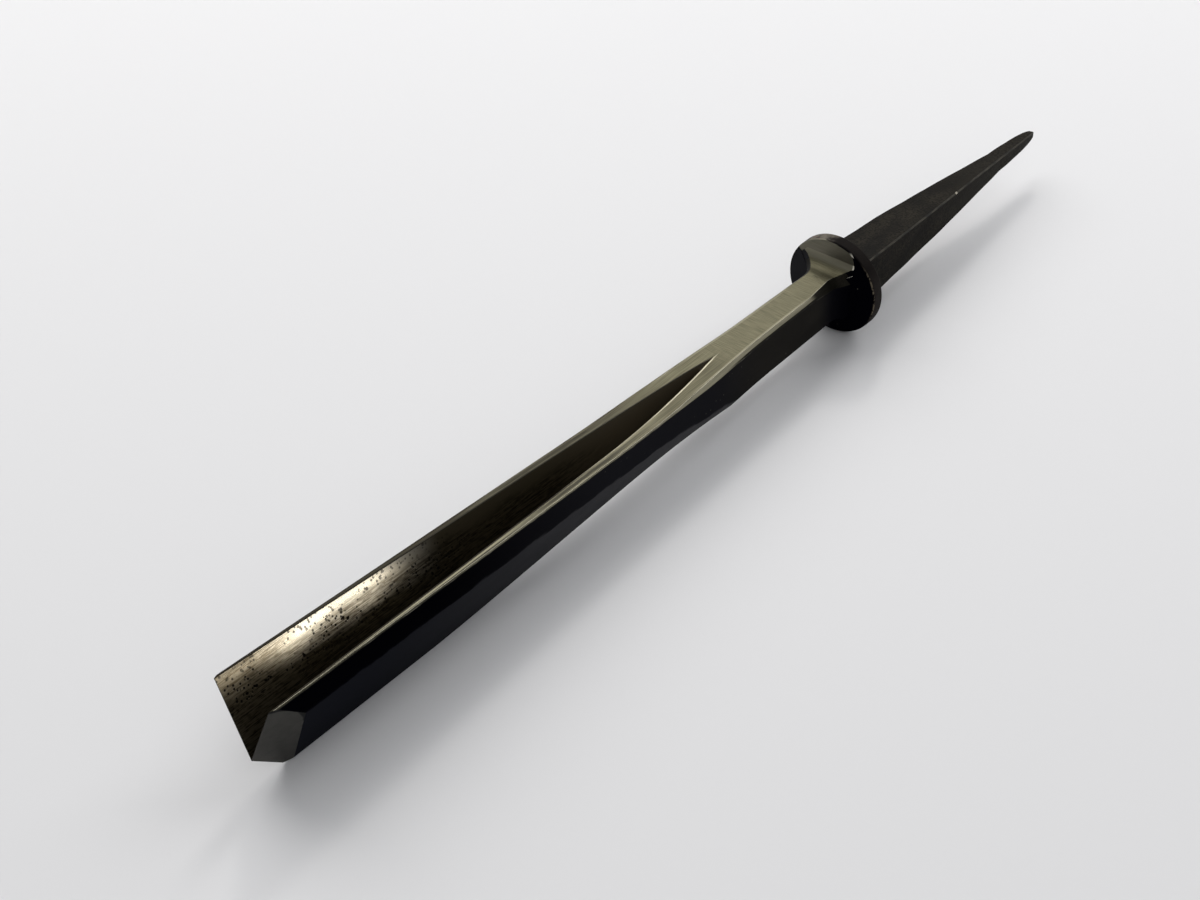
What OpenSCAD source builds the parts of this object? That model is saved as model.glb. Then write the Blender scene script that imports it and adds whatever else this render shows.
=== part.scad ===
// V parting chisel for carving, without its handle: blade, bolster collar and tang.
// X runs along the tool with the cutting edge at +X, and Z is up, out of the open groove.
// The origin is the centre of the bolster's back face, where a handle seats.

/* [Blade] */
// Length from the bolster's front face to the cutting edge
blade_l = 110; // [80:1:150]
// Width across the shank where it leaves the bolster
shank_w = 4.7; // [4:0.1:7]
// Height of the shank's top face above the axis
shank_top = 3.05; // [2.4:0.05:4]
// Depth of the shank's underside below the axis
shank_bottom = 3.1; // [2.4:0.05:4]
// Growth of the half width for each millimetre toward the edge
side_taper = 0.017; // [0:0.001:0.03]
// Extra half width of the blade over the shank
blade_step = 0.42; // [0:0.02:1]
// Place where the shank starts to widen into the blade
step_start = 18; // [12:1:24]
// Length over which the shank widens into the blade
step_l = 15; // [8:1:24]
// Place where the underside starts down toward the keel
keel_start = 28; // [24:1:34]
// Length over which the underside comes down to the keel
keel_l = 60; // [40:1:70]
// Fall of the keel below the tapering underside
keel_drop = 4.4; // [3:0.1:6]
// Growth of the underside's depth for each millimetre, up to the end of the keel's fall
under_taper = 0.008; // [0:0.001:0.02]
// Radius along the keel
keel_r = 0.8; // [0.3:0.1:1.5]
// Lean of the lower flanks from upright, in degrees
flank_lean = 22; // [16:1:26]
// Distance of the lower flanks from the axis
flank_offset = 3.5; // [3.2:0.05:4]
// Place where the lower flanks' cut begins to run out toward the shank
flank_end = 45; // [40:1:50]
// Radius of the curve by which the flanks run out
flank_runout_r = 290; // [200:10:400]

/* [Lands and top] */
// Place where the top face starts its slight fall behind the groove
fall_start = 28; // [20:1:34]
// Fall of the top face for each millimetre
fall_rate = 0.02; // [0:0.005:0.04]
// Length over which the top face rounds into its fall
fall_bend = 4; // [1:1:8]
// Place where the top edges of the wings start to rise
rise_start = 43; // [38:1:50]
// Rise of the wings' top edges for each millimetre, over the fall
rise_rate = 0.06; // [0.03:0.005:0.07]
// Length over which those edges round into their rise
rise_bend = 8; // [2:1:12]
// Chamfer along the shank's top corners
shank_chamfer = 0.55; // [0.2:0.05:0.8]
// Chamfer along the outer corners of the wings' lands
land_chamfer = 0.16; // [0.05:0.01:0.3]

/* [Groove and bevels] */
// Angle between the walls of the V groove, in degrees
v_angle = 46.6; // [40:0.2:60]
// Depth of the groove's floor below the axis at the cutting edge
floor_depth = 4.4; // [3.5:0.1:5]
// Slope of the groove's floor, in degrees
floor_slope = 2.1; // [0:0.1:3]
// Distance of the groove's pointed end from the bolster
groove_end = 26.5; // [24:0.5:36]
// Radius of the curve by which the groove runs out
runout_r = 80; // [50:1:120]
// Angle of the sharpening bevels to the groove's walls, in degrees
bevel_angle = 18.6; // [15:0.2:30]
// Thickness left at the cutting edge
edge_land = 0.06; // [0.02:0.01:0.2]

/* [Shoulder] */
// Radius of the hollow between the shank's top and the bolster
top_fillet = 2.1; // [1:0.1:3]
// Radius of the hollow between the shank's sides and the bolster
side_fillet = 3.7; // [2:0.1:4]
// Radius of the hollow between the shank's underside and the bolster
under_fillet = 2.8; // [1:0.1:3]
// Depth by which the hollows run past the bolster's face, so that they end in an edge
hollow_overrun = 0.05; // [0.02:0.01:0.2]
// Width of the cone's rim that the hollows leave
hollow_rim = 0.5; // [0.4:0.1:1]
// Height of the low cone on the shoulder's face
cone_h = 1.3; // [0.8:0.1:1.8]
// Small radius of the low cone
cone_r = 2.8; // [2:0.1:3.5]
// Margin of the bolster's front face left outside the shoulder
shoulder_margin = 0.1; // [0.05:0.05:0.5]
// Reach of the ground band on the shoulder's face to the +Y side
ground_near = 3.75; // [3:0.05:5]
// Reach of the ground band to the -Y side at the same height
ground_far = 4.8; // [3:0.1:5.5]
// Height of the ground band's lower corner
ground_low = 3.4; // [3:0.1:4]
// Radius by which the ground band's +Y side rounds in to the rim
ground_round = 2.7; // [2:0.1:3.4]
// Lean of the ground band's -Y side toward the rim, in degrees
ground_far_lean = 45; // [0:1:60]
// Growth of the +Y top corner's chamfer at the shoulder
strip_growth = 0.75; // [0:0.05:1]
// Length over which that chamfer grows
strip_l = 8; // [5:1:14]

/* [Bolster] */
// Diameter of the bolster
bolster_d = 14.2; // [13:0.1:18]
// Thickness of the bolster
bolster_t = 2; // [1.2:0.1:5]
// Chamfer on the bolster's two rims
bolster_chamfer = 0.2; // [0.1:0.05:0.5]

/* [Tang] */
// Length of the tang behind the bolster
tang_l = 50.5; // [40:0.5:70]
// Width of the square tang at the bolster
tang_w = 6.4; // [5:0.1:7]
// Width of the tang at its waist, before the point
waist_w = 2.3; // [1.4:0.1:2.6]
// Length of the parallel start of the tang
tang_start = 3; // [1:0.5:6]
// Length of the tang's point behind the waist
point_l = 11.2; // [8:0.2:14]
// Length of the parallel stretch before the point rounds in
waist_l = 3; // [1:0.5:5]
// Fullness of the taper, where 1 is straight
tang_fullness = 1.3; // [1:0.05:1.6]
// Chamfer along the tang's four corners
tang_chamfer = 0.2; // [0.1:0.05:0.8]

/* [Weld] */
// Length of the tang's wedge inside the shank
wedge_l = 9; // [6:0.5:12]
// Width of the wedge at its root
wedge_w = 3.2; // [2:0.1:3.6]
// Width of the wedge's blunt end
wedge_end = 0.6; // [0.3:0.1:1.2]
// Height of the wedge
wedge_h = 3.6; // [2:0.1:4.4]

/* [Hidden] */
$fn = 96;

// Size of the cutting solids, well over the blade's section, and the lap of joined solids
far = 40;
lap = 1;

// Number of straight pieces in each curved stretch of an outline
steps = 12;

v_half = v_angle / 2;
bolster_r = bolster_d / 2;
shoulder_r = bolster_r - bolster_chamfer - shoulder_margin;

// Keel: depth of its arc's centre, and half of the angle that the arc leaves to each flank
keel_z = -bottom_z(blade_l) - keel_r;
keel_spread = 30;

// Places where the blade's outlines bend, and those between them where its chamfers bend
bends = spread(step_start, rise_start + rise_bend, steps);
between = [for (i = [1:steps]) (bends[i - 1] + bends[i]) / 2];

// Place where the flanks' cut begins, clear of the shank's sides
flank_lead = 5;
flank_start = keel_start - flank_lead;

// Ground band on the shoulder: its foot within the shank, and its top near the rim
ground_foot = shank_top - top_fillet / 4;
ground_rise = bolster_d / 4;
ground_top = ground_low + ground_rise;

// Tang: half widths, end of the taper, and start and tip of the rounded point
tang_half = tang_w / 2;
waist_half = waist_w / 2;
taper_end = tang_l - point_l;
point_start = taper_end + waist_l;
tip_half = 0.12;

// Most that the corner chamfers take of the tang's half width
chamfer_share = 0.6;

// The groove's end seen from its floor line: along the floor, and square to it
groove_rise = top_z(groove_end) + floor_depth;
end_along = (groove_end - blade_l) * cos(floor_slope) - groove_rise * sin(floor_slope);
end_above = (groove_end - blade_l) * sin(floor_slope) + groove_rise * cos(floor_slope);
runout_start = end_along + sqrt(2 * runout_r * end_above - end_above * end_above);

// Height of the groove's cutter, which clears the wings
groove_clear = 14;

// 0 below 0 and 1 above 1, with a smooth climb between
function smooth(t) = t <= 0 ? 0 : t >= 1 ? 1 : t * t * (3 - 2 * t);

// 0 before x0, then one for one, with the corner rounded over w each way
function ramp(x, x0, w) = x <= x0 - w ? 0 : x >= x0 + w ? x - x0 : pow(x - x0 + w, 2) / (4 * w);

// Evenly spaced values from a to b
function spread(a, b, n) = [for (i = [0:n]) a + (b - a) * i / n];

// Height of a hollow of radius r at the distance x from the bolster
function hollow(x, r) = r - sqrt(r * r - pow(max(0, r - hollow_overrun - x), 2));

// Height of the top face, the underside and the half width along the blade
function top_z(x) = shank_top - fall_rate * ramp(x, fall_start, fall_bend)
    + rise_rate * ramp(x, rise_start, rise_bend);
function bottom_z(x) = -shank_bottom - under_taper * min(x, keel_start + keel_l)
    - keel_drop * smooth((x - keel_start) / keel_l);
function half_w(x) = shank_w / 2 + side_taper * x + blade_step * smooth((x - step_start) / step_l);

// Distance of a lower flank from the axis, which grows where its cut runs out
function flank_q(x) = flank_offset + pow(max(0, flank_end - x), 2) / (2 * flank_runout_r);

// Chamfer of the top corners: narrowest on the wings, and wider by the growth at the shoulder
function chamfer_w(x, growth) = shank_chamfer + growth * smooth(1 - x / strip_l)
    + (land_chamfer - shank_chamfer) * smooth((x - fall_start) / (rise_start - fall_start));

// Distance of the chamfer's face from the axis
function chamfer_q(x, growth) = cos(45)
    * (half_w(x) + hollow(x, side_fillet) + top_z(x) + hollow(x, top_fillet) - chamfer_w(x, growth));

// Half width of the tang at the distance x behind the bolster, down to the waist
function taper_half(x) = waist_half + (tang_half - waist_half)
    * (1 - pow(max(0, (x - tang_start) / (taper_end - tang_start)), tang_fullness));

// Half width of the rounded point behind the waist
function point_half(x) = tip_half + (waist_half - tip_half)
    * sqrt(max(0, 1 - pow((x - point_start) / (tang_l - point_start), 2)));

// A quarter-round hollow in the corner of the X and Y axes
module corner_hollow(r) {
    translate([-hollow_overrun, 0]) difference() {
        square(r);
        translate([r, r]) circle(r);
    }
}

// Side view of the blade, with its hollows into the bolster
module side_view() {
    top = concat([0], bends, [blade_l]);
    under = concat([blade_l], spread(keel_start + keel_l, keel_start, steps), [0]);
    polygon(concat([for (x = top) [x, top_z(x)]], [for (x = under) [x, bottom_z(x)]]));
    translate([0, shank_top]) corner_hollow(top_fillet);
    translate([0, -shank_bottom]) mirror([0, 1]) corner_hollow(under_fillet);
}

// Half of the blade seen from above
module plan_half() {
    side = concat([0], bends, [blade_l]);
    polygon(concat([[0, 0]], [for (x = side) [x, half_w(x)]], [[blade_l, 0]]));
    translate([0, shank_w / 2]) corner_hollow(side_fillet);
}

// Section that rounds the keel: an arc and two lines that leave it outside the flanks
module keel_view() {
    arc = spread(180 + keel_spread, 360 - keel_spread, steps);
    edge = keel_r * cos(keel_spread) + far * sin(keel_spread);
    rim = far * cos(keel_spread) - keel_z;
    polygon(concat([for (a = arc) [keel_r * cos(a), keel_r * sin(a) - keel_z]], [[edge, rim], [-edge, rim]]));
}

// All that lies inside a line along the blade, leaning about X
module side_limit(lean, line) {
    last = line[len(line) - 1][0];
    rotate([lean, 0, 0]) linear_extrude(2 * far, center = true)
        polygon(concat([[line[0][0], -far]], line, [[last, -far]]));
}

module flank_limit() {
    cut = concat(spread(flank_start, flank_end, steps / 2), [blade_l]);
    side_limit(-flank_lean, concat([[0, far], [cut[0], far]], [for (x = cut) [x, flank_q(x)]]));
}

module chamfer_limit(growth) {
    hollows = spread(0, side_fillet, steps);
    side_limit(45, [for (x = concat(hollows, [strip_l], between, [blade_l])) [x, chamfer_q(x, growth)]]);
}

// The blade's outside: the views from the side, from above and along the axis, cut together
module blade_bar() {
    intersection() {
        rotate([90, 0, 0]) linear_extrude(2 * far, center = true) side_view();
        linear_extrude(2 * far, center = true) union() {
            plan_half();
            mirror([0, 1]) plan_half();
        }
        rotate([90, 0, 90]) linear_extrude(blade_l) keel_view();
        flank_limit();
        mirror([0, 1, 0]) flank_limit();
        chamfer_limit(strip_growth);
        mirror([0, 1, 0]) chamfer_limit(0);
        union() {
            rotate([0, 90, 0]) cylinder(h = step_start, r = shoulder_r - hollow_rim);
            translate([step_start - lap, -far, -far]) cube([blade_l, 2 * far, 2 * far]);
        }
    }
}

// Low cone of the shoulder, with the band over the shank ground flat to the bolster
module shoulder_cone() {
    rounding = [for (a = spread(0, 90, steps))
        [ground_near - ground_round * (1 - cos(a)), ground_top - ground_round * (1 - sin(a))]];
    difference() {
        rotate([0, 90, 0]) cylinder(h = cone_h, r1 = shoulder_r, r2 = cone_r);
        rotate([90, 0, 90]) linear_extrude(cone_h + lap)
            polygon(concat([[shank_w / 2, ground_foot], [ground_near, ground_low]], rounding, [
                [-ground_far - ground_rise * tan(ground_far_lean), ground_top],
                [-ground_far + ground_low * tan(ground_far_lean), 0]]));
    }
}

// V groove: straight from the edge, then running out along a curve
module groove() {
    half = groove_clear * tan(v_half);
    translate([blade_l, 0, -floor_depth]) rotate([0, floor_slope, 0]) {
        translate([runout_start, 0, 0]) rotate([90, 0, 90]) linear_extrude(far - runout_start)
            polygon([[0, 0], [half, groove_clear], [-half, groove_clear]]);
        translate([runout_start, 0, runout_r]) rotate([90, 0, 0]) rotate_extrude($fn = 360)
            polygon([[runout_r, 0], [runout_r - groove_clear, half], [runout_r - groove_clear, -half]]);
    }
}

// Space outside one sharpening bevel, whose face meets the groove's wall at the edge
module bevel_cut() {
    translate([blade_l, 0, -floor_depth]) rotate([-v_half, 0, 0]) rotate([0, 0, -bevel_angle])
        translate([-far / 2, edge_land, -far / 2]) cube(far);
}

// Wedge on the tang's root, which lies in a cleft of the same shape in the shank
module wedge() {
    translate([bolster_t, 0, 0]) linear_extrude(wedge_h, center = true)
        polygon([[0, wedge_w / 2], [wedge_l, wedge_end / 2], [wedge_l, -wedge_end / 2], [0, -wedge_w / 2]]);
}

// Square bar with a given half width along its length, turned about X
module square_limit(angle, places, halves) {
    last = len(places) - 1;
    rotate([angle, 0, 0]) linear_extrude(2 * far, center = true)
        polygon(concat(
            [for (i = [0:last]) [-places[i], halves[i]]],
            [for (i = [last:-1:0]) [-places[i], -halves[i]]]));
}

module blade() {
    color("lightslategray") difference() {
        translate([bolster_t, 0, 0]) difference() {
            union() {
                blade_bar();
                shoulder_cone();
            }
            groove();
            bevel_cut();
            mirror([0, 1, 0]) bevel_cut();
        }
        wedge();
    }
}

module bolster() {
    color("dimgray") difference() {
        rotate([0, 90, 0]) rotate_extrude()
            polygon([
                [0, 0], [bolster_r - bolster_chamfer, 0], [bolster_r, bolster_chamfer],
                [bolster_r, bolster_t - bolster_chamfer], [bolster_r - bolster_chamfer, bolster_t],
                [0, bolster_t]]);
        cube([2 * far, tang_w, tang_w], center = true);
    }
}

module tang() {
    taper = spread(tang_start, taper_end, steps);
    point = spread(point_start, tang_l, steps);
    places = concat([0], taper, point);
    halves = concat([tang_half], [for (x = taper) taper_half(x)], [for (x = point) point_half(x)]);
    corners = [for (h = halves) (2 * h - min(tang_chamfer, chamfer_share * h)) * cos(45)];
    color([0.25, 0.23, 0.2]) union() {
        intersection() {
            square_limit(0, places, halves);
            square_limit(90, places, halves);
            square_limit(45, places, corners);
            square_limit(-45, places, corners);
        }
        translate([0, -tang_half, -tang_half]) cube([bolster_t, tang_w, tang_w]);
        wedge();
    }
}

blade();
bolster();
tang();
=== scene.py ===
"""A V parting chisel for carving, without its handle, lying on a pale table.

The steel keeps the shapes of the solids. Its arrises are rounded here, and each face
gets the finish of the real one: ground, stoned, forged, polished or scaled. Some tones are
painted light and shade by place: highlights and reflections on the lands, the chamfers,
the arrises and the groove's polished front, and shade on the near sides, the shoulder's
hollow and the bolster's front.
Lengths are in metres. X runs to the cutting edge, Z is up, out of the groove, and
the side that the camera sees is the near side, at +Y.
"""
import math

import bmesh
import bpy
from mathutils import Matrix, Vector, noise


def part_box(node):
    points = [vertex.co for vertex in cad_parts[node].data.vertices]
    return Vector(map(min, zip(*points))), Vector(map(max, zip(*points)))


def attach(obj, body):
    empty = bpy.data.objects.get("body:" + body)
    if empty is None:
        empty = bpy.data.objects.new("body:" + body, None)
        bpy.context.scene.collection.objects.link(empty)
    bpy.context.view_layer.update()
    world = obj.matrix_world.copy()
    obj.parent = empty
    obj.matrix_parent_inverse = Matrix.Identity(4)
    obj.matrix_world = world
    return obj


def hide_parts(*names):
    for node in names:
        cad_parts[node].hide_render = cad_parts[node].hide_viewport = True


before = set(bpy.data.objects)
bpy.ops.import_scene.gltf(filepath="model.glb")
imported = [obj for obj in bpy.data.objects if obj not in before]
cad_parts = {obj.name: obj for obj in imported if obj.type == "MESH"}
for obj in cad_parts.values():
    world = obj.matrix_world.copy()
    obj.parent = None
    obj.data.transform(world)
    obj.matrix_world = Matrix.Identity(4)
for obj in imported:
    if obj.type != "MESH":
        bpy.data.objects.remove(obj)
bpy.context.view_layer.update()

MM = 0.001

# Places on the tool, read from the solids or repeated from their sizes
BLADE_LOW, BLADE_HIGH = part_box("blade")
BOLSTER_LOW, BOLSTER_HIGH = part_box("bolster")
TANG_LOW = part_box("tang")[0]
FRONT_FACE = BOLSTER_HIGH.x
EDGE_X = BLADE_HIGH.x
BOLSTER_R = BOLSTER_HIGH.z
HEEL_X = FRONT_FACE + 88 * MM
WELD = 0.0005 * MM

# Shank and wings: height of the top, half width and its growth, and the chamfer
SHANK_TOP = 3.05 * MM
SHANK_HALF, SIDE_TAPER = 2.35 * MM, 0.017
BLADE_STEP, STEP_START, STEP_END = 0.42 * MM, 18 * MM, 33 * MM
SHANK_CHAMFER = 0.55 * MM

# The groove: half its angle, its floor at the edge, and the curve by which it runs out
V_HALF = math.radians(46.6 / 2)
FLOOR_DEPTH, FLOOR_SLOPE = 4.4 * MM, math.radians(2.1)
RUNOUT_R = 80 * MM
GROOVE_END = FRONT_FACE + 26.5 * MM

# The ground band on the bolster's front, and how the bolster's rims are rounded
GROUND_LOW, GROUND_TOP = 3.4 * MM, 6.95 * MM
GROUND_NEAR, GROUND_ROUND = 3.75 * MM, 2.7 * MM
GROUND_FAR = 4.8 * MM
BOLSTER_ROUND = 0.3 * MM
BOLSTER_SIDES = 144

# Stoned facets of the bevels: the circle that rounds their upper corners, seen from the side
FACET_MIDDLE_X, FACET_MIDDLE_Z = EDGE_X + 1.4 * MM, -1.1 * MM
FACET_ROUND = 6.4 * MM

# Upper border of the lower flanks, seen from the side: straight in front, bent down behind
BORDER_BEND_X, BORDER_BEND_Z = FRONT_FACE + 45 * MM, -0.59 * MM
BORDER_SLOPE, BORDER_BEND = 0.042, 4.7

# How the blade's faces are told apart, and which of its edges are worn round
BEVEL_START = EDGE_X - 18 * MM
SHOULDER_END = FRONT_FACE + 1.2 * MM
ARRIS_ROUND = 0.05 * MM
SHORTEST_ARRIS = 0.3 * MM
SHARP_TURN, ROUNDED_TURN = math.radians(24), math.radians(10)

# Hammered unevenness of the tang, whose point is drawn out a little thinner
TANG_CUTS = 50
HAMMER_SIZE = 5 * MM
HAMMER_DEPTH = 0.03
POINT_START, POINT_LENGTH, POINT_DRAWN = -41 * MM, 3 * MM, 0.12

# The photograph's frame and its camera
PHOTO_WIDTH, PHOTO_HEIGHT = 1200, 900
LENS, SENSOR = 70, 36
CAMERA_AZIMUTH = math.radians(40.583)
CAMERA_ELEVATION = math.radians(37.89)
CAMERA_ROLL = math.radians(-1.492)
CAMERA_DISTANCE = 320.1 * MM
BOLSTER_PIXEL = (831.24, 286.07)

# The table, the room's light, and the lamps: name, azimuth and elevation in degrees,
# distance and size in metres, watts, and colour
TABLE_SIZE = 3
TABLE_COLOUR = (0.735, 0.733, 0.738, 1)
SKY_COLOUR, SKY_STRENGTH = (0.95, 0.97, 1.0, 1), 0.31
LAMP_TARGET = Vector((50 * MM, 0, 0))
LAMPS = (
    ("window", 250, 46, 0.7, 0.713, 3.33, (1.0, 0.99, 0.98)),
    ("lamp", 211, 40, 0.9, 0.14, 1.2, (1.0, 0.98, 0.95)),
    ("back", 172, 38, 0.8, 0.56, 2.3, (0.99, 0.99, 1.0)),
    ("fill", 55, 45, 1.0, 1.0, 1.1, (0.99, 0.99, 1.0)),
)

# Colours of the finishes, as linear red, green and blue, some of them painted light and shade
TONES = {
    "satin dark": (0.060, 0.055, 0.034),
    "satin light": (0.134, 0.125, 0.081),
    "satin clouded": (0.072, 0.067, 0.043),
    "satin near wing": (0.045, 0.041, 0.026),
    "land dark": (0.060, 0.055, 0.036),
    "land light": (0.140, 0.130, 0.088),
    "front land reflection dark": (0.12, 0.112, 0.076),
    "front land reflection light": (0.20, 0.186, 0.13),
    "far land shade": (0.020, 0.017, 0.011),
    "land reflection line dark": (0.014, 0.0125, 0.009),
    "land reflection line light": (0.055, 0.051, 0.036),
    "near groove edge highlight": (0.38, 0.355, 0.265),
    "near groove edge highlight, front": (0.19, 0.177, 0.128),
    "groove edge dark": (0.02, 0.018, 0.013),
    "groove edge in front": (0.014, 0.012, 0.008),
    "sweep sheen": (0.23, 0.216, 0.16),
    "shank corner": (0.17, 0.16, 0.115),
    "band border highlight": (0.80, 0.77, 0.66),
    "polish dark": (0.22, 0.185, 0.13),
    "polish and highlight light": (0.96, 0.91, 0.80),
    "polish stained": (0.30, 0.26, 0.19),
    "groove dark": (0.012, 0.0095, 0.0055),
    "groove light": (0.060, 0.050, 0.031),
    "groove behind": (0.085, 0.072, 0.05),
    "groove stained": (0.085, 0.074, 0.052),
    "pit": (0.005, 0.004, 0.003),
    "side behind": (0.0115, 0.0115, 0.0138),
    "side in painted shade": (0.0005, 0.0005, 0.0013),
    "shank side dark": (0.012, 0.0112, 0.0105),
    "shank side light": (0.024, 0.0222, 0.0195),
    "flare painted shade": (0.0012, 0.0012, 0.0026),
    "flank behind": (0.070, 0.069, 0.072),
    "flank in painted shade": (0.010, 0.011, 0.015),
    "flank clouded": (0.012, 0.012, 0.014),
    "far side dark": (0.012, 0.012, 0.014),
    "far side light": (0.026, 0.025, 0.027),
    "far flank": (0.045, 0.045, 0.049),
    "side rubbed": (0.08, 0.075, 0.06),
    "stoned dark": (0.054, 0.052, 0.046),
    "stoned light": (0.092, 0.089, 0.080),
    "stoned clouded": (0.055, 0.053, 0.048),
    "unstoned": (0.004, 0.004, 0.004),
    "arris dark": (0.16, 0.15, 0.11),
    "arris light": (0.46, 0.43, 0.33),
    "arris highlight at band": (0.62, 0.60, 0.51),
    "chamfer scale dark": (0.006, 0.0055, 0.0045),
    "chamfer scale light": (0.024, 0.022, 0.017),
    "chamfer dark": (0.10, 0.093, 0.064),
    "chamfer light": (0.30, 0.278, 0.20),
    "shank chamfer reflection dark": (0.15, 0.139, 0.098),
    "shank chamfer reflection light": (0.35, 0.325, 0.235),
    "chamfer with less reflection": (0.040, 0.037, 0.025),
    "worn scale": (0.014, 0.013, 0.011),
    "worn steel": (0.16, 0.15, 0.12),
    "bolster dark": (0.0095, 0.0085, 0.0083),
    "bolster light": (0.035, 0.030, 0.0275),
    "bolster top": (0.15, 0.135, 0.11),
    "rust": (0.16, 0.02, 0.016),
    "upper rim": (0.006, 0.005, 0.0045),
    "bolster front painted shade": (0.003, 0.003, 0.004),
    "bolster near front painted shade": (0.0006, 0.0006, 0.0014),
    "band dark": (0.10, 0.093, 0.068),
    "band light": (0.18, 0.171, 0.133),
    "rim rubbed": (0.13, 0.11, 0.08),
    "tang dark": (0.0055, 0.0047, 0.0033),
    "tang light": (0.0205, 0.0172, 0.0115),
    "tang mottled": (0.0038, 0.0032, 0.0024),
    "tang tip light": (0.021, 0.018, 0.013),
    "tang corner dark": (0.012, 0.0105, 0.008),
    "tang corner light": (0.062, 0.054, 0.039),
    "nick": (0.45, 0.41, 0.33),
}


def runout_centre():
    """Centre of the curve that touches the groove's floor and passes through its pointed end."""
    rise = SHANK_TOP + FLOOR_DEPTH
    back = GROOVE_END - EDGE_X
    end_along = back * math.cos(FLOOR_SLOPE) - rise * math.sin(FLOOR_SLOPE)
    end_above = back * math.sin(FLOOR_SLOPE) + rise * math.cos(FLOOR_SLOPE)
    start = end_along + math.sqrt(2 * RUNOUT_R * end_above - end_above ** 2)
    x = start * math.cos(FLOOR_SLOPE) + RUNOUT_R * math.sin(FLOOR_SLOPE)
    z = RUNOUT_R * math.cos(FLOOR_SLOPE) - start * math.sin(FLOOR_SLOPE)
    return Vector((EDGE_X + x, 0, z - FLOOR_DEPTH))


RUNOUT_CENTRE = runout_centre()


def direction(azimuth, elevation):
    """The way from the tool at an azimuth from +X and an elevation, both in radians."""
    level = math.cos(elevation)
    return Vector((level * math.cos(azimuth), level * math.sin(azimuth), math.sin(elevation)))


def add_object(name, data):
    """A new object in the scene."""
    made = bpy.data.objects.new(name, data)
    bpy.context.collection.objects.link(made)
    return made


# Shader nodes

def give(tree, socket, value):
    """Links another node's output to a socket, or sets a plain value on it."""
    if isinstance(value, bpy.types.NodeSocket):
        tree.links.new(value, socket)
    else:
        socket.default_value = value


def node(tree, kind, options=None, **inputs):
    """Adds a shader node with its inputs, in whose names _ stands for a space."""
    made = tree.nodes.new(kind)
    for name, value in (options or {}).items():
        setattr(made, name, value)
    for name, value in inputs.items():
        give(tree, made.inputs[name.replace("_", " ")], value)
    return made


def place(tree):
    """Position on the tool, in metres."""
    return node(tree, "ShaderNodeTexCoord").outputs["Object"]


def axes(tree):
    """Positions along X, Y and Z, in metres."""
    return node(tree, "ShaderNodeSeparateXYZ", Vector=place(tree)).outputs[:]


def calc(tree, operation, first, second=0.0):
    """The result of a sum on one or two numbers."""
    made = node(tree, "ShaderNodeMath", {"operation": operation})
    give(tree, made.inputs[0], first)
    give(tree, made.inputs[1], second)
    return made.outputs[0]


def plus(tree, first, second):
    """Two numbers added."""
    return calc(tree, "ADD", first, second)


def minus(tree, first, second):
    """The first number less the second."""
    return calc(tree, "SUBTRACT", first, second)


def larger(tree, first, second):
    """The larger of two numbers."""
    return calc(tree, "MAXIMUM", first, second)


def product(tree, *factors):
    """All the factors multiplied."""
    result = factors[0]
    for factor in factors[1:]:
        result = calc(tree, "MULTIPLY", result, factor)
    return result


def slant(tree, first, second):
    """Straight distance over two distances at right angles."""
    return calc(tree, "SQRT", plus(tree, product(tree, first, first), product(tree, second, second)))


def reverse(tree, share):
    """1 less the share."""
    return minus(tree, 1.0, share)


def span(tree, value, low, high):
    """Climbs smoothly from 0 at low to 1 at high, which may be the lower number of the two."""
    made = node(tree, "ShaderNodeMapRange", {"interpolation_type": "SMOOTHSTEP"}, Value=value)
    made.inputs["From Min"].default_value = low
    made.inputs["From Max"].default_value = high
    return made.outputs["Result"]


def until(tree, value, start, end):
    """1 up to the start, falling smoothly to 0 at the end."""
    return reverse(tree, span(tree, value, start, end))


def ridge(tree, value, middle, width):
    """1 where a value is near its middle, and 0 from half the width away."""
    off = calc(tree, "ABSOLUTE", minus(tree, value, middle))
    return until(tree, off, 0.25 * width, 0.5 * width)


def tint(tree, share, first, second):
    """The first colour, changing to the second as share goes from 0 to 1. Either may be a tone's name."""
    made = node(tree, "ShaderNodeMix", {"data_type": "RGBA"})
    give(tree, made.inputs[0], share)
    for socket, colour in ((made.inputs[6], first), (made.inputs[7], second)):
        give(tree, socket, (*TONES[colour], 1) if isinstance(colour, str) else colour)
    return made.outputs[2]


def grain(tree, size, detail=3, stretch=(1, 1, 1)):
    """Noise from 0 to 1 with features about size across, drawn out along the axes."""
    scale = tuple(1 / (size * s) for s in stretch)
    spot = node(tree, "ShaderNodeMapping", Vector=place(tree), Scale=scale)
    return node(tree, "ShaderNodeTexNoise", Vector=spot.outputs[0], Scale=1, Detail=detail).outputs["Fac"]


def shift(tree, noise_value, size):
    """Noise from 0 to 1 made into a shift of up to half the size either way."""
    return product(tree, minus(tree, noise_value, 0.5), size)


def specks(tree, size, share):
    """1 inside scattered round specks, which take up a share of their cells."""
    cells = node(tree, "ShaderNodeTexVoronoi", Vector=place(tree), Scale=1 / size)
    return until(tree, cells.outputs["Distance"], share * 0.6, share)


def relief(tree, height, depth):
    """Bump that raises the surface by depth, in metres, where height is 1."""
    return node(tree, "ShaderNodeBump", Height=height, Distance=depth, Strength=1).outputs["Normal"]


def finish(name, metal, roughness):
    """A new material and its shader."""
    made = bpy.data.materials.new(name)
    made.use_nodes = True
    tree = made.node_tree
    shader = tree.nodes["Principled BSDF"]
    shader.inputs["Metallic"].default_value = metal
    shader.inputs["Roughness"].default_value = roughness
    return made, tree, shader


def wire(tree, shader, **inputs):
    """Links outputs to the shader's sockets."""
    for name, output in inputs.items():
        tree.links.new(output, shader.inputs[name.replace("_", " ")])


# Measures across the blade, for the finishes

def aside(tree):
    """Distance from the tool's middle plane."""
    return calc(tree, "ABSOLUTE", axes(tree)[1])


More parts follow.
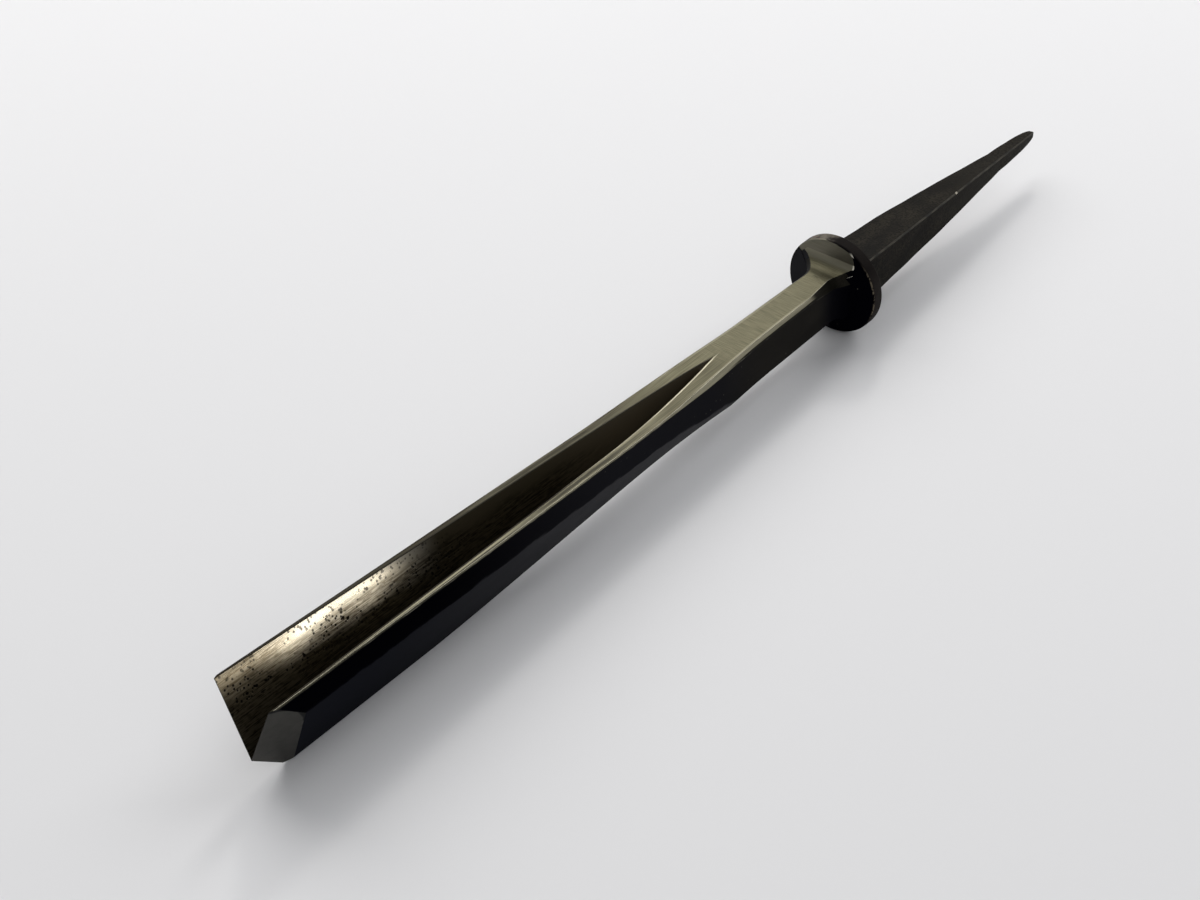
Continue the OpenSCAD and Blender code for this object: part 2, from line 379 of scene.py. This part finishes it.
def over_floor(tree):
    """Height over the groove's floor, or over the curve by which it runs out."""
    x, _, z = axes(tree)
    floor = minus(tree, product(tree, minus(tree, EDGE_X, x), math.tan(FLOOR_SLOPE)), FLOOR_DEPTH)
    straight = minus(tree, z, floor)
    level = node(tree, "ShaderNodeCombineXYZ", X=x, Z=z).outputs[0]
    off_centre = node(tree, "ShaderNodeVectorMath", {"operation": "DISTANCE"}, Vector=level)
    off_centre.inputs[1].default_value = RUNOUT_CENTRE
    curved = minus(tree, RUNOUT_R, off_centre.outputs["Value"])
    in_front = calc(tree, "GREATER_THAN", x, RUNOUT_CENTRE.x)
    return plus(tree, product(tree, in_front, straight), product(tree, reverse(tree, in_front), curved))


def from_groove(tree):
    """How far a point is inside the steel from the groove's wall."""
    outward = product(tree, aside(tree), math.cos(V_HALF))
    return minus(tree, outward, product(tree, over_floor(tree), math.sin(V_HALF)))


def half_width(tree):
    """Half of the blade's width."""
    from_bolster = minus(tree, axes(tree)[0], FRONT_FACE)
    straight = plus(tree, product(tree, from_bolster, SIDE_TAPER), SHANK_HALF)
    return plus(tree, straight, product(tree, span(tree, from_bolster, STEP_START, STEP_END), BLADE_STEP))


def outside_band(tree):
    """How far a point is outside the ground band, and outside its near border, below 0 within them."""
    _, y, z = axes(tree)
    right = larger(tree, minus(tree, y, GROUND_NEAR - GROUND_ROUND), 0.0)
    up = larger(tree, minus(tree, z, GROUND_TOP - GROUND_ROUND), 0.0)
    near = minus(tree, slant(tree, right, up), GROUND_ROUND)
    lean = plus(tree, minus(tree, z, GROUND_LOW), plus(tree, y, GROUND_FAR))
    far = product(tree, lean, -math.cos(math.radians(45)))
    low = minus(tree, GROUND_LOW, z)
    return larger(tree, larger(tree, near, far), low), near


# Finishes

def ground_steel_and_painted_light():
    """Shank's top, sweep of the shoulder and lands: satin, with painted highlights, reflections and shade:
    bright and dark lines along the lands, a sheen on the sweep and a bright border on the ground band.
    """
    made, tree, shader = finish("ground_steel_and_painted_light", 1.0, 0.5)
    x, y, z = axes(tree)
    far_side = calc(tree, "LESS_THAN", y, 0.0)
    wing = span(tree, x, GROOVE_END - 3 * MM, GROOVE_END + 3 * MM)
    in_front = span(tree, x, 62 * MM, 76 * MM)
    inner = larger(tree, from_groove(tree), 0.0)
    outer = larger(tree, minus(tree, half_width(tree), aside(tree)), 0.0)

    # Ground crosswise on the shank and lengthwise on the wings
    crosswise = grain(tree, 0.06 * MM, 3, (1, 40, 1))
    lengthwise = grain(tree, 0.18 * MM, 4, (40, 1, 1))
    cloud = grain(tree, 2 * MM, 3, (1, 3, 1))
    scratches = plus(tree, product(tree, wing, lengthwise), product(tree, reverse(tree, wing), crosswise))
    satin = tint(tree, span(tree, scratches, 0.3, 0.7), "satin dark", "satin light")
    satin = tint(tree, product(tree, cloud, 0.4), satin, "satin clouded")
    satin = tint(tree, product(tree, wing, reverse(tree, far_side), 0.35), satin, "satin near wing")

    # The lands carry painted reflections: a dark line along their middle, which nears the outer edge
    # in front, and brighter lands in front. The far land is darkened with painted shade.
    place_across = calc(tree, "DIVIDE", inner, plus(tree, inner, outer))
    line_behind = product(tree, ridge(tree, place_across, 0.46, 0.5), reverse(tree, in_front))
    line_place = plus(tree, outer, product(tree, span(tree, x, 76 * MM, 90 * MM), 0.15 * MM))
    line_before = product(tree, ridge(tree, line_place, 0.31 * MM, 0.38 * MM), in_front)
    line = product(tree, larger(tree, line_behind, line_before), span(tree, x, 40 * MM, 56 * MM))
    rubbed = tint(tree, span(tree, lengthwise, 0.3, 0.7), "land dark", "land light")
    rubbed = tint(tree, in_front, rubbed, tint(tree, lengthwise, "front land reflection dark", "front land reflection light"))
    land = tint(tree, line, rubbed, tint(tree, lengthwise, "land reflection line dark", "land reflection line light"))
    far_land_shade = larger(tree, span(tree, lengthwise, 0.38, 0.68), product(tree, in_front, 0.95))
    land = tint(tree, product(tree, far_side, far_land_shade), land, "far land shade")
    steel = tint(tree, span(tree, x, 34 * MM, 48 * MM), satin, land)

    # Beside the groove: a painted highlight on the near arris, painted shade on the far one, and a darker
    # edge along the groove's front
    near_edge_highlight = tint(tree, span(tree, x, 38 * MM, 46 * MM), "near groove edge highlight", "near groove edge highlight, front")
    beside_groove = product(tree, wing, until(tree, inner, 0.14 * MM, 0.22 * MM), reverse(tree, in_front))
    steel = tint(tree, beside_groove, steel, tint(tree, far_side, near_edge_highlight, "groove edge dark"))
    front_groove_edge_dark = product(tree, span(tree, x, 50 * MM, 64 * MM), until(tree, inner, 0.18 * MM, 0.26 * MM))
    steel = tint(tree, front_groove_edge_dark, steel, "groove edge in front")

    # A painted sheen on the sweep, the shank's rubbed corners with a painted highlight along them, and a
    # painted highlight on the border of the ground band
    sheen = product(tree, ridge(tree, z, 4.8 * MM, 2.6 * MM), 0.9,
                    until(tree, x, FRONT_FACE + 1.6 * MM, FRONT_FACE + 2.0 * MM))
    steel = tint(tree, sheen, steel, "sweep sheen")
    corner_line = product(tree, ridge(tree, outer, SHANK_CHAMFER + 0.12 * MM, 0.44 * MM),
                          span(tree, x, 9 * MM, 12 * MM), until(tree, x, 34 * MM, 40 * MM),
                          span(tree, lengthwise, 0.25, 0.6))
    steel = tint(tree, corner_line, steel, "shank corner")
    near = outside_band(tree)[1]
    border = product(tree, span(tree, near, -0.42 * MM, -0.28 * MM), span(tree, y, 1.2 * MM, 2.4 * MM),
                     until(tree, x, FRONT_FACE + 1.0 * MM, FRONT_FACE + 1.4 * MM))
    wire(tree, shader, Base_Color=tint(tree, border, steel, "band border highlight"),
         Metallic=reverse(tree, border), Normal=relief(tree, scratches, 0.008 * MM))
    return made


def groove_steel_and_painted_highlight():
    """Walls of the groove: polished and pitted in front toward the top, with a painted highlight brightest
    along the top, brown and dull elsewhere.
    """
    made, tree, shader = finish("groove_steel_and_painted_highlight", 1.0, 0.5)
    x, _, z = axes(tree)
    streaks = grain(tree, 0.12 * MM, 5, (30, 1, 1))
    fine = grain(tree, 0.3 * MM, 5, (3, 1, 1))
    cloud = grain(tree, 2.5 * MM, 5, (3, 1, 1))
    stained = span(tree, plus(tree, x, product(tree, cloud, 6 * MM)), 102 * MM, 110 * MM)

    # Further from the edge, the polish and its painted highlight reach a little lower down the walls
    lift = product(tree, minus(tree, EDGE_X, x), 0.035)
    height = plus(tree, plus(tree, z, shift(tree, cloud, 3 * MM)), lift)
    # rubbed is the polish together with a painted highlight, starting at 77.5 mm along X and full from 88.5
    # mm; upper paints the highlight brightest near the walls' top
    polish_highlight_height = minus(tree, height, product(tree, stained, 0.4 * MM))
    rubbed = product(tree, span(tree, polish_highlight_height, 1.4 * MM, 4.9 * MM),
                     span(tree, x, 77.5 * MM, 88.5 * MM))
    upper = span(tree, height, 2.9 * MM, 4.6 * MM)

    contrast = span(tree, plus(tree, streaks, product(tree, fine, 0.6)), 0.6, 0.98)
    contrast = larger(tree, contrast, product(tree, upper, reverse(tree, stained), 0.9))
    polished = tint(tree, contrast, "polish dark", "polish and highlight light")
    polished = tint(tree, product(tree, stained, 0.6), polished, "polish stained")
    brown = tint(tree, contrast, "groove dark", "groove light")
    brown = tint(tree, span(tree, x, 62 * MM, 44 * MM), brown, "groove behind")
    brown = tint(tree, product(tree, stained, contrast), brown, "groove stained")

    cluster = span(tree, grain(tree, 2.2 * MM, 2, (2, 1, 1)), 0.43, 0.52)
    pits = product(tree, larger(tree, specks(tree, 0.5 * MM, 0.36), specks(tree, 1.0 * MM, 0.26)), cluster,
                   span(tree, x, 70 * MM, 80 * MM), span(tree, height, 0.0, 1.5 * MM),
                   reverse(tree, product(tree, upper, 0.4)))
    steel = tint(tree, rubbed, brown, polished)
    rise = minus(tree, product(tree, streaks, 0.12), pits)
    wire(tree, shader, Base_Color=tint(tree, pits, steel, "pit"),
         Roughness=minus(tree, 0.50, product(tree, rubbed, 0.27)),
         Normal=relief(tree, rise, 0.03 * MM))
    return made


def scaled_steel_and_painted_shade():
    """Sides and underside: forging scale, brown on the shank, slate on the flanks, with painted shade that
    turns the near side blue-black in front and near black in the shoulder's hollow.
    """
    made, tree, shader = finish("scaled_steel_and_painted_shade", 0.0, 0.5)
    x, y, z = axes(tree)
    cloud = grain(tree, 3.5 * MM, 5, (2.5, 1, 1))
    fine = grain(tree, 0.22 * MM, 4, (2, 1, 1))

    # Painted shade: the near side and its flank darken toward the front, and the hollow of the shoulder is
    # near black
    black = tint(tree, span(tree, x, 48 * MM, 88 * MM), "side behind", "side in painted shade")
    at_shank = product(tree, span(tree, x, 4 * MM, 9 * MM), until(tree, x, 20 * MM, 34 * MM))
    black = tint(tree, at_shank, black, tint(tree, cloud, "shank side dark", "shank side light"))
    black = tint(tree, span(tree, x, 9 * MM, 2.5 * MM), black, "flare painted shade")
    slate = tint(tree, span(tree, x, 42 * MM, 100 * MM), "flank behind", "flank in painted shade")
    slate = tint(tree, product(tree, cloud, 0.5), slate, "flank clouded")

    # A ragged border divides the black sides from the slate flanks below
    behind = larger(tree, minus(tree, BORDER_BEND_X, x), 0.0)
    border = plus(tree, product(tree, minus(tree, x, BORDER_BEND_X), BORDER_SLOPE),
                  minus(tree, BORDER_BEND_Z, product(tree, behind, behind, BORDER_BEND)))
    ragged = shift(tree, grain(tree, 0.9 * MM, 4, (3, 1, 1)), 1.2 * MM)
    below = minus(tree, plus(tree, border, ragged), z)
    on_flank = span(tree, below, -0.15 * MM, 0.25 * MM)
    scale = tint(tree, on_flank, black, slate)
    far_scale = tint(tree, on_flank, tint(tree, cloud, "far side dark", "far side light"), "far flank")
    # The far side keeps a lighter scale, without the painted shade
    scale = tint(tree, span(tree, y, 0.3 * MM, -0.3 * MM), scale, far_scale)

    rubbed = product(tree, specks(tree, 1.1 * MM, 0.10), span(tree, cloud, 0.5, 0.62),
                     until(tree, x, 55 * MM, 70 * MM))
    wire(tree, shader, Base_Color=tint(tree, rubbed, scale, "side rubbed"),
         Normal=relief(tree, fine, 0.012 * MM))
    shader.inputs["IOR"].default_value = 1.02
    return made


def honed_steel():
    """Sharpening bevels: matt grey from the stone, up to a rounded border."""
    made, tree, shader = finish("honed_steel", 1.0, 0.62)
    x, _, z = axes(tree)
    stone = grain(tree, 0.07 * MM, 4, (1, 1, 6))
    cloud = grain(tree, 1.2 * MM, 5)
    back = minus(tree, FACET_MIDDLE_X, x)
    up = larger(tree, minus(tree, z, FACET_MIDDLE_Z), 0.0)
    from_middle = plus(tree, slant(tree, back, up), shift(tree, cloud, 0.4 * MM))
    unstoned = product(tree, span(tree, from_middle, FACET_ROUND - 0.1 * MM, FACET_ROUND + 0.1 * MM),
                       calc(tree, "GREATER_THAN", up, 0.0))
    steel = tint(tree, stone, "stoned dark", "stoned light")
    steel = tint(tree, product(tree, span(tree, cloud, 0.35, 0.7), 0.6), steel, "stoned clouded")
    wire(tree, shader, Base_Color=tint(tree, unstoned, steel, "unstoned"),
         Normal=relief(tree, stone, 0.006 * MM))
    return made


def bright_arris_and_painted_highlight():
    """Arrises between ground faces, rubbed bright, but dark along the front of the groove, with a painted
    highlight where they meet the ground band.
    """
    made, tree, shader = finish("bright_arris_and_painted_highlight", 1.0, 0.45)
    x = axes(tree)[0]
    wear = grain(tree, 0.5 * MM, 4, (6, 1, 1))
    steel = tint(tree, wear, "arris dark", "arris light")
    at_groove = product(tree, until(tree, from_groove(tree), 0.08 * MM, 0.12 * MM),
                        span(tree, x, 52 * MM, 66 * MM))
    steel = tint(tree, at_groove, steel, "groove edge dark")
    # Painted highlight: a bright line, not metal, where the arrises meet the ground band
    at_band = until(tree, x, FRONT_FACE + 1.2 * MM, FRONT_FACE + 1.5 * MM)
    wire(tree, shader, Base_Color=tint(tree, at_band, steel, "arris highlight at band"),
         Metallic=reverse(tree, at_band))
    return made


def corner_strip_and_painted_reflection():
    """Chamfer along the top corners: bright, with scale at the shoulder and outside along the shank, and a
    painted reflection, brighter on the shank and duller in front.
    """
    made, tree, shader = finish("corner_strip_and_painted_reflection", 1.0, 0.5)
    x, _, z = axes(tree)
    streaks = grain(tree, 0.2 * MM, 4, (12, 1, 1))
    across = minus(tree, minus(tree, aside(tree), z), minus(tree, half_width(tree), SHANK_TOP))
    dark = tint(tree, streaks, "chamfer scale dark", "chamfer scale light")
    # Painted reflection: the chamfer is brighter on the shank and duller in front
    bright = tint(tree, span(tree, x, 48 * MM, 38 * MM),
                  tint(tree, streaks, "chamfer dark", "chamfer light"),
                  tint(tree, streaks, "shank chamfer reflection dark", "shank chamfer reflection light"))
    bright = tint(tree, product(tree, span(tree, x, 76 * MM, 84 * MM), 0.85), bright, "chamfer with less reflection")
    line = product(tree, ridge(tree, across, -0.1 * SHANK_CHAMFER, 0.9 * SHANK_CHAMFER), 0.12,
                   until(tree, x, 16 * MM, 25 * MM))
    ragged = plus(tree, across, shift(tree, streaks, 0.2 * MM))
    scaled = product(tree, span(tree, ragged, 0.12 * MM, 0.24 * MM), until(tree, x, 25 * MM, 31 * MM))
    shoulder = until(tree, x, 8.5 * MM, 10.5 * MM)
    dull = larger(tree, larger(tree, line, scaled), shoulder)
    wire(tree, shader, Base_Color=tint(tree, dull, bright, dark))
    return made


def worn_scale():
    """Scaled corners where the steel shows through here and there."""
    made, tree, shader = finish("worn_scale", 1.0, 0.5)
    wear = span(tree, grain(tree, 0.5 * MM, 5, (5, 1, 1)), 0.5, 0.75)
    wire(tree, shader, Base_Color=tint(tree, wear, "worn scale", "worn steel"),
         Normal=relief(tree, wear, 0.008 * MM))
    return made


def bolster_scale_and_painted_light():
    """Bolster: brown-black scale, ground where the shank's top sweeps up its front, with painted shade on
    the front and a painted highlight on the band's near border.
    """
    made, tree, shader = finish("bolster_scale_and_painted_light", 0.0, 0.5)
    x, y, z = axes(tree)
    cloud = grain(tree, 1.6 * MM, 5)
    fine = grain(tree, 0.22 * MM, 4)
    smooth = grain(tree, 0.10 * MM, 4, (1, 40, 1))
    on_front = span(tree, x, FRONT_FACE - 0.3 * MM, FRONT_FACE - 0.2 * MM)

    # Scale, with a rusty patch at the top, and painted shade that darkens the front and makes its near half
    # black
    scale = tint(tree, cloud, "bolster dark", "bolster light")
    at_top = product(tree, span(tree, z, 5.0 * MM, 6.0 * MM), until(tree, y, -0.8 * MM, 0.4 * MM))
    scale = tint(tree, product(tree, at_top, span(tree, cloud, 0.3, 0.6)), scale, "bolster top")
    rust = product(tree, specks(tree, 0.6 * MM, 0.3), span(tree, fine, 0.45, 0.6), at_top)
    scale = tint(tree, rust, scale, "rust")
    high = product(tree, span(tree, z, 1 * MM, 5 * MM), 0.6, reverse(tree, at_top))
    scale = tint(tree, high, scale, "upper rim")
    scale = tint(tree, product(tree, on_front, 0.5), scale, "bolster front painted shade")
    near_front_shade = product(tree, span(tree, x, FRONT_FACE - 0.14 * MM, FRONT_FACE - 0.04 * MM),
                         span(tree, y, -1 * MM, 1 * MM))
    scale = tint(tree, near_front_shade, scale, "bolster near front painted shade")

    # The ground band and a painted highlight on its near border
    outside, near = outside_band(tree)
    on_near_rim = product(tree, span(tree, y, 0.2 * MM, 1.0 * MM),
                          until(tree, x, FRONT_FACE - 0.03 * MM, FRONT_FACE))
    ground = product(tree, until(tree, outside, -0.03 * MM, 0.03 * MM), on_front,
                     reverse(tree, on_near_rim))
    steel = tint(tree, smooth, "band dark", "band light")
    border = product(tree, ridge(tree, near, 0.06 * MM, 0.30 * MM), span(tree, y, 1.4 * MM, 2.6 * MM),
                     span(tree, z, GROUND_LOW - 0.1 * MM, GROUND_LOW), on_front,
                     span(tree, z, 6.5 * MM, 6.0 * MM))

    # The front rim is rubbed here and there
    radial = node(tree, "ShaderNodeCombineXYZ", Y=y, Z=z).outputs[0]
    radius = node(tree, "ShaderNodeVectorMath", {"operation": "LENGTH"}, Vector=radial).outputs["Value"]
    corner = BOLSTER_R + FRONT_FACE
    at_rim = span(tree, plus(tree, radius, x), corner - 0.23 * MM, corner - 0.19 * MM)
    rim = product(tree, at_rim, span(tree, grain(tree, 0.6 * MM, 5), 0.42, 0.56),
                  ridge(tree, z, 1.0 * MM, 9 * MM), span(tree, y, 2 * MM, 4 * MM))

    metal = larger(tree, ground, rim)
    colour = tint(tree, rim, tint(tree, ground, scale, steel), "rim rubbed")
    wire(tree, shader, Base_Color=tint(tree, border, colour, "band border highlight"), Metallic=metal,
         Normal=relief(tree, product(tree, fine, reverse(tree, metal)), 0.02 * MM))
    shader.inputs["IOR"].default_value = 1.05
    return made


def tang_scale():
    """Tang: olive-brown forging scale, mottled, and a little lighter toward the tip."""
    made, tree, shader = finish("tang_scale", 0.0, 0.55)
    cloud = grain(tree, 3 * MM, 5, (2, 1, 1))
    fine = grain(tree, 0.3 * MM, 5)
    scale = tint(tree, span(tree, cloud, 0.3, 0.7), "tang dark", "tang light")
    scale = tint(tree, product(tree, span(tree, fine, 0.44, 0.60), 0.85), scale, "tang mottled")
    toward_tip = span(tree, axes(tree)[0], -20 * MM, -42 * MM)
    tip_scale = tint(tree, span(tree, fine, 0.35, 0.65), "tang dark", "tang tip light")
    scale = tint(tree, toward_tip, scale, tip_scale)
    wire(tree, shader, Base_Color=scale, Normal=relief(tree, fine, 0.04 * MM))
    shader.inputs["IOR"].default_value = 1.12
    return made


def tang_corner():
    """Broken corners of the tang: a little steel shows through, and one nick is bright."""
    made, tree, shader = finish("tang_corner", 0.0, 0.5)
    wear = span(tree, grain(tree, 0.6 * MM, 5, (4, 1, 1)), 0.35, 0.7)
    nick = ridge(tree, axes(tree)[0], -26.1 * MM, 0.6 * MM)
    scale = tint(tree, wear, "tang corner dark", "tang corner light")
    wire(tree, shader, Base_Color=tint(tree, nick, scale, "nick"))
    shader.inputs["Specular IOR Level"].default_value = 0.2
    return made


FINISHES = {
    "ground": ground_steel_and_painted_light(),
    "groove": groove_steel_and_painted_highlight(),
    "scale": scaled_steel_and_painted_shade(),
    "honed": honed_steel(),
    "strip": corner_strip_and_painted_reflection(),
    "bright": bright_arris_and_painted_highlight(),
    "worn": worn_scale(),
    "bolster": bolster_scale_and_painted_light(),
    "tang": tang_scale(),
    "corner": tang_corner(),
}
NUMBER = {name: index for index, name in enumerate(FINISHES)}
BARE_STEEL = {NUMBER[name] for name in ("ground", "groove", "bright")}
SOFT_BORDERS = {NUMBER[name] for name in ("honed", "scale")}


# The three pieces

def piece(name, shape, replaced):
    """Turns a shape into a piece of the tool that stands for a solid."""
    mesh = bpy.data.meshes.new(name)
    shape.to_mesh(mesh)
    shape.free()
    made = add_object(name, mesh)
    for material in FINISHES.values():
        mesh.materials.append(material)
    smoothing = made.modifiers.new("weighted_normals", "WEIGHTED_NORMAL")
    smoothing.keep_sharp = True
    smoothing.weight = 80
    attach(made, "root")
    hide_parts(replaced)
    return made


def merged_copy(solid):
    """A solid's shape with its triangles joined into whole faces."""
    shape = bmesh.new()
    shape.from_mesh(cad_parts[solid].data)
    bmesh.ops.remove_doubles(shape, verts=shape.verts, dist=WELD)
    bmesh.ops.dissolve_limit(shape, angle_limit=math.radians(0.05), verts=shape.verts, edges=shape.edges)
    return shape


def blade_finish(face):
    """The finish of a face of the blade, told from its place and the way it faces."""
    normal = face.normal
    middle = face.calc_center_median()
    outward = normal.y * math.copysign(1, middle.y)
    if middle.x > BEVEL_START and normal.x > 0.2:
        return "bright" if normal.x > 0.9 else "honed"
    # At the shoulder, near faces turned inward take the bright finish, a painted highlight, and far ones
    # scale
    if outward < -0.3 and middle.x < SHOULDER_END:
        return "bright" if middle.y > 0 else "scale"
    if outward < -0.3 and normal.z > 0.2:
        return "groove"
    if outward > 0.4 and normal.z > 0.4:
        return "strip"
    if normal.z > 0.98 and middle.z > 0.8 * SHANK_TOP:
        return "ground"
    if normal.z > 0.05 and abs(normal.y) < 0.3 and middle.z > 0.9 * SHANK_TOP and abs(middle.y) < SHANK_TOP:
        return "ground"
    return "scale"


def is_worn_round(edge, turn, finishes):
    """Whether an edge of the blade is worn round: long, not too flat, and not one that stays crisp."""
    start = edge.verts[0].co.x
    if NUMBER["groove"] in finishes and (start < GROOVE_END + 2 * MM or NUMBER["honed"] in finishes):
        return False
    if NUMBER["ground"] not in finishes and start < FRONT_FACE + 1.5 * MM:
        return False
    long_enough = edge.calc_length() > SHORTEST_ARRIS and start > FRONT_FACE
    return turn > ROUNDED_TURN and long_enough and not finishes <= SOFT_BORDERS


def round_arrises(shape, chosen):
    """Rounds the chosen edges. Where they meet bare steel they are bright on the near side, a painted
    highlight, and ground steel on the far side; elsewhere worn.
    """
    rounded = bmesh.ops.bevel(shape, geom=chosen, offset=ARRIS_ROUND, offset_type="OFFSET", affect="EDGES",
                              segments=2, profile=0.5, material=-1, clamp_overlap=False)
    new = set(rounded["faces"])
    for face in new:
        neighbours = {other for edge in face.edges for other in edge.link_faces} - new
        middle = face.calc_center_median()
        if middle.x > EDGE_X - 0.8 * MM:
            face.material_index = NUMBER["honed"]
        elif {other.material_index for other in neighbours} & BARE_STEEL:
            face.material_index = NUMBER["bright" if middle.y > 0 else "ground"]
        else:
            face.material_index = NUMBER["worn"]


def make_blade():
    """The V blade with its shank and shoulder, each face in its own finish."""
    shape = merged_copy("blade")
    for face in shape.faces:
        face.material_index = NUMBER[blade_finish(face)]
        face.smooth = True
    worn = []
    for edge in shape.edges:
        first, second = edge.link_faces
        turn = first.normal.angle(second.normal)
        finishes = {first.material_index, second.material_index}
        if len(finishes) > 1 or turn > SHARP_TURN:
            edge.smooth = False
            if is_worn_round(edge, turn, finishes):
                worn.append(edge)
    round_arrises(shape, worn)
    return piece("blade_steel_body", shape, "blade")


def make_bolster():
    """A disc with rounded rims."""
    shape = bmesh.new()
    thickness = BOLSTER_HIGH.x - BOLSTER_LOW.x
    bmesh.ops.create_cone(shape, cap_ends=True, segments=BOLSTER_SIDES,
                          radius1=BOLSTER_R, radius2=BOLSTER_R, depth=thickness)
    bmesh.ops.rotate(shape, verts=shape.verts, matrix=Matrix.Rotation(math.radians(90), 3, "Y"))
    bmesh.ops.translate(shape, verts=shape.verts, vec=(thickness / 2, 0, 0))
    rims = [edge for edge in shape.edges if abs(edge.verts[0].co.x - edge.verts[1].co.x) < 0.1 * MM]
    bmesh.ops.bevel(shape, geom=rims, offset=BOLSTER_ROUND, affect="EDGES",
                    segments=4, profile=0.5, material=-1)
    for face in shape.faces:
        face.material_index = NUMBER["bolster"]
        face.smooth = True
    return piece("bolster_disc", shape, "bolster")


def make_tang():
    """The tapering tang, with broken corners and a slightly uneven, hammered length."""
    shape = merged_copy("tang")
    for face in shape.faces:
        slanted = abs(face.normal.y) > 0.3 and abs(face.normal.z) > 0.3
        face.material_index = NUMBER["corner" if slanted else "tang"]
        face.smooth = True
    for count in range(1, TANG_CUTS):
        cut = TANG_LOW.x * count / TANG_CUTS
        bmesh.ops.bisect_plane(shape, geom=shape.verts[:] + shape.edges[:] + shape.faces[:],
                               dist=0.1 * WELD, plane_co=(cut, 0, 0), plane_no=(1, 0, 0))
    for edge in shape.edges:
        if len(edge.link_faces) == 2:
            first, second = edge.link_faces
            if first.normal.angle(second.normal) > math.radians(30):
                edge.smooth = False
    for vert in shape.verts:
        if vert.co.x < 0:
            wave = noise.noise(Vector((vert.co.x / HAMMER_SIZE, 0, 0)) + vert.co.normalized())
            pointed = min(max((POINT_START - vert.co.x) / POINT_LENGTH, 0), 1)
            vert.co.yz *= 1 + HAMMER_DEPTH * wave - POINT_DRAWN * pointed
    return piece("tang_spike", shape, "tang")


make_blade()
make_bolster()
make_tang()


# Table, lamps and camera

def make_table():
    """The surface that the tool lies on: it touches the heel of the keel and the bolster's rim."""
    shape = bmesh.new()
    bmesh.ops.create_grid(shape, x_segments=1, y_segments=1, size=TABLE_SIZE)
    mesh = bpy.data.meshes.new("table")
    shape.to_mesh(mesh)
    shape.free()
    table = add_object("table", mesh)
    heel = Vector((HEEL_X, 0, BLADE_LOW.z))
    rim = Vector((0, 0, BOLSTER_LOW.z))
    table.location = heel
    table.rotation_euler.y = math.atan2(rim.z - heel.z, heel.x - rim.x)
    made, _, shader = finish("paper", 0.0, 0.9)
    shader.inputs["Base Color"].default_value = TABLE_COLOUR
    mesh.materials.append(made)


def make_lamp(name, azimuth, elevation, distance, size, watts, colour):
    """A round soft lamp that faces the middle of the tool."""
    lamp = bpy.data.lights.new(name, "AREA")
    lamp.shape = "DISK"
    lamp.size = size
    lamp.energy = watts
    lamp.color = colour
    made = add_object(name, lamp)
    toward = direction(math.radians(azimuth), math.radians(elevation))
    made.location = LAMP_TARGET + toward * distance
    made.rotation_euler = toward.to_track_quat("Z", "Y").to_euler()


def make_sky():
    """Even light from all round the room."""
    world = bpy.data.worlds.new("room")
    bpy.context.scene.world = world
    world.use_nodes = True
    background = world.node_tree.nodes["Background"]
    background.inputs["Color"].default_value = SKY_COLOUR
    background.inputs["Strength"].default_value = SKY_STRENGTH


def make_camera():
    """Puts the bolster's front centre on its own pixel, at the photograph's angle."""
    back = direction(CAMERA_AZIMUTH, CAMERA_ELEVATION)
    level = Vector((0, 0, 1)).cross(back).normalized()
    rise = back.cross(level)
    right = math.cos(CAMERA_ROLL) * level + math.sin(CAMERA_ROLL) * rise
    up = math.cos(CAMERA_ROLL) * rise - math.sin(CAMERA_ROLL) * level
    focal = LENS / SENSOR * PHOTO_WIDTH
    off_right = (BOLSTER_PIXEL[0] - PHOTO_WIDTH / 2) / focal * CAMERA_DISTANCE
    off_up = (PHOTO_HEIGHT / 2 - BOLSTER_PIXEL[1]) / focal * CAMERA_DISTANCE
    lens = bpy.data.cameras.new("camera")
    lens.lens = LENS
    lens.sensor_width = SENSOR
    lens.clip_start = 10 * MM
    camera = add_object("camera", lens)
    spot = Vector((FRONT_FACE, 0, 0)) + back * CAMERA_DISTANCE - right * off_right - up * off_up
    camera.matrix_world = Matrix.Translation(spot) @ Matrix((right, up, back)).transposed().to_4x4()
    bpy.context.scene.camera = camera


make_table()
for values in LAMPS:
    make_lamp(*values)
make_sky()
make_camera()
bpy.context.scene.view_settings.view_transform = "Standard"
